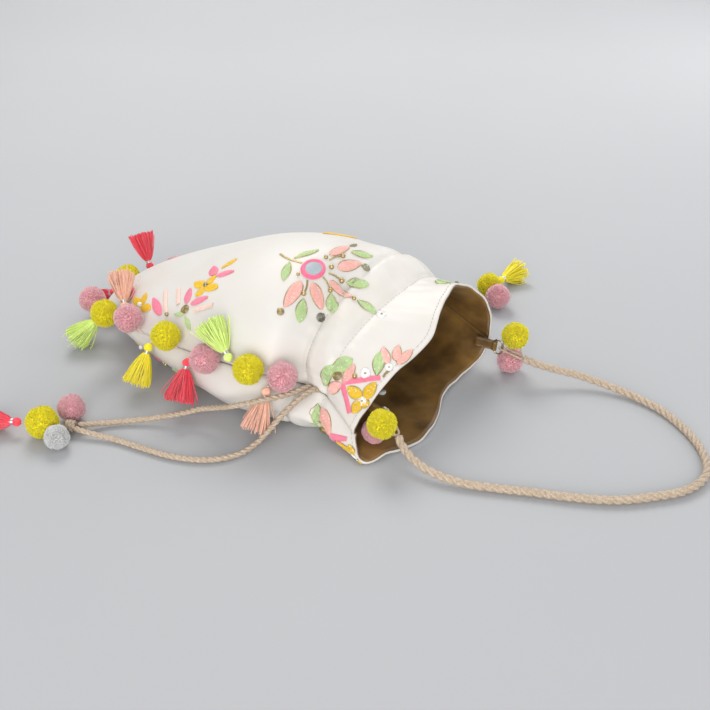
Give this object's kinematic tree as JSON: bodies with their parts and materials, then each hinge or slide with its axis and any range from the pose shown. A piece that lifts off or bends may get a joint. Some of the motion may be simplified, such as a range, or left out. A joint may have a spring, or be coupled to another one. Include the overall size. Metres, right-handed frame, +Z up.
{
  "type": "potli bag",
  "caption": "Embroidered drawstring pouch lying on its side, with pompoms and tassels round the seam, a rope handle on rings and knotted drawstrings.",
  "frame": {"origin": "on the table under the middle of the bag and its seam trim, cords left out", "axes": "+X from the closed bottom towards the mouth, +Y across the bag, +Z up from the table"},
  "size_m": [0.4382, 0.3625, 0.0874],
  "materials": {
    "ivory_satin": "satin cloth",
    "gold_velvet": "short velvet pile",
    "beige_cord": "twisted rope",
    "antique_brass": "aged and lightly polished",
    "yellow": "cut wool",
    "pink": "cut wool",
    "white": "cut wool",
    "peach": "silk thread",
    "lime": "silk thread",
    "coral": "silk thread"
  },
  "bodies": {
    "bag": {"front_panel": "ivory_satin", "back_panel": "ivory_satin", "lining_front": "gold_velvet", "lining_back": "gold_velvet", "seam_pompom_01": "pink", "seam_pompom_02": "yellow", "seam_pompom_03": "pink", "seam_pompom_04": "yellow", "seam_pompom_05": "pink", "seam_pompom_06": "yellow", "seam_pompom_07": "pink", "seam_pompom_08": "yellow", "seam_pompom_09": "pink", "seam_pompom_10": "yellow", "seam_pompom_11": "pink", "seam_pompom_12": "yellow", "seam_pompom_13": "pink", "seam_pompom_14": "yellow", "seam_tassel_01": "peach", "seam_tassel_02": "lime", "seam_tassel_03": "coral", "seam_tassel_04": "yellow", "seam_tassel_05": "peach", "seam_tassel_06": "lime", "seam_tassel_07": "coral", "seam_tassel_08": "coral", "seam_tassel_09": "peach", "seam_tassel_10": "lime", "seam_tassel_11": "coral", "seam_tassel_12": "yellow", "seam_tassel_13": "peach", "drawstring_near_casing": "beige_cord", "drawstring_far_casing": "beige_cord", "drawstring_near_upper": "beige_cord", "drawstring_near_lower": "beige_cord", "drawstring_far_upper": "beige_cord", "drawstring_far_lower": "beige_cord", "drawstring_near_knot": "beige_cord", "drawstring_far_knot": "beige_cord", "drawstring_near_tassel": "coral", "drawstring_far_tassel": "yellow", "ring_tab_far": "gold_velvet", "ring_tab_near": "gold_velvet", "drawstring_near_pompom_front": "yellow", "drawstring_near_pompom_back": "pink", "drawstring_near_pompom_side": "white", "drawstring_far_pompom_front": "yellow", "drawstring_far_pompom_side": "pink"},
    "handle": {"ring_far": "antique_brass", "ring_near": "antique_brass", "handle_thread_far": "beige_cord", "handle_thread_near": "beige_cord", "handle_cord": "beige_cord", "handle_pompom_far_upper": "yellow", "handle_pompom_far_lower": "pink", "handle_pompom_near_upper": "yellow", "handle_pompom_near_lower": "pink"}
  },
  "joints": [
    {"name": "handle_swing", "type": "hinge", "parent": "bag", "child": "handle", "pos_m": [0.1182, -0.0538, 0.024], "axis": [-0.1867, -0.9816, 0.04], "range_deg": [0, 50], "deforming": ["ring_tab_far", "ring_tab_near"]}
  ]
}
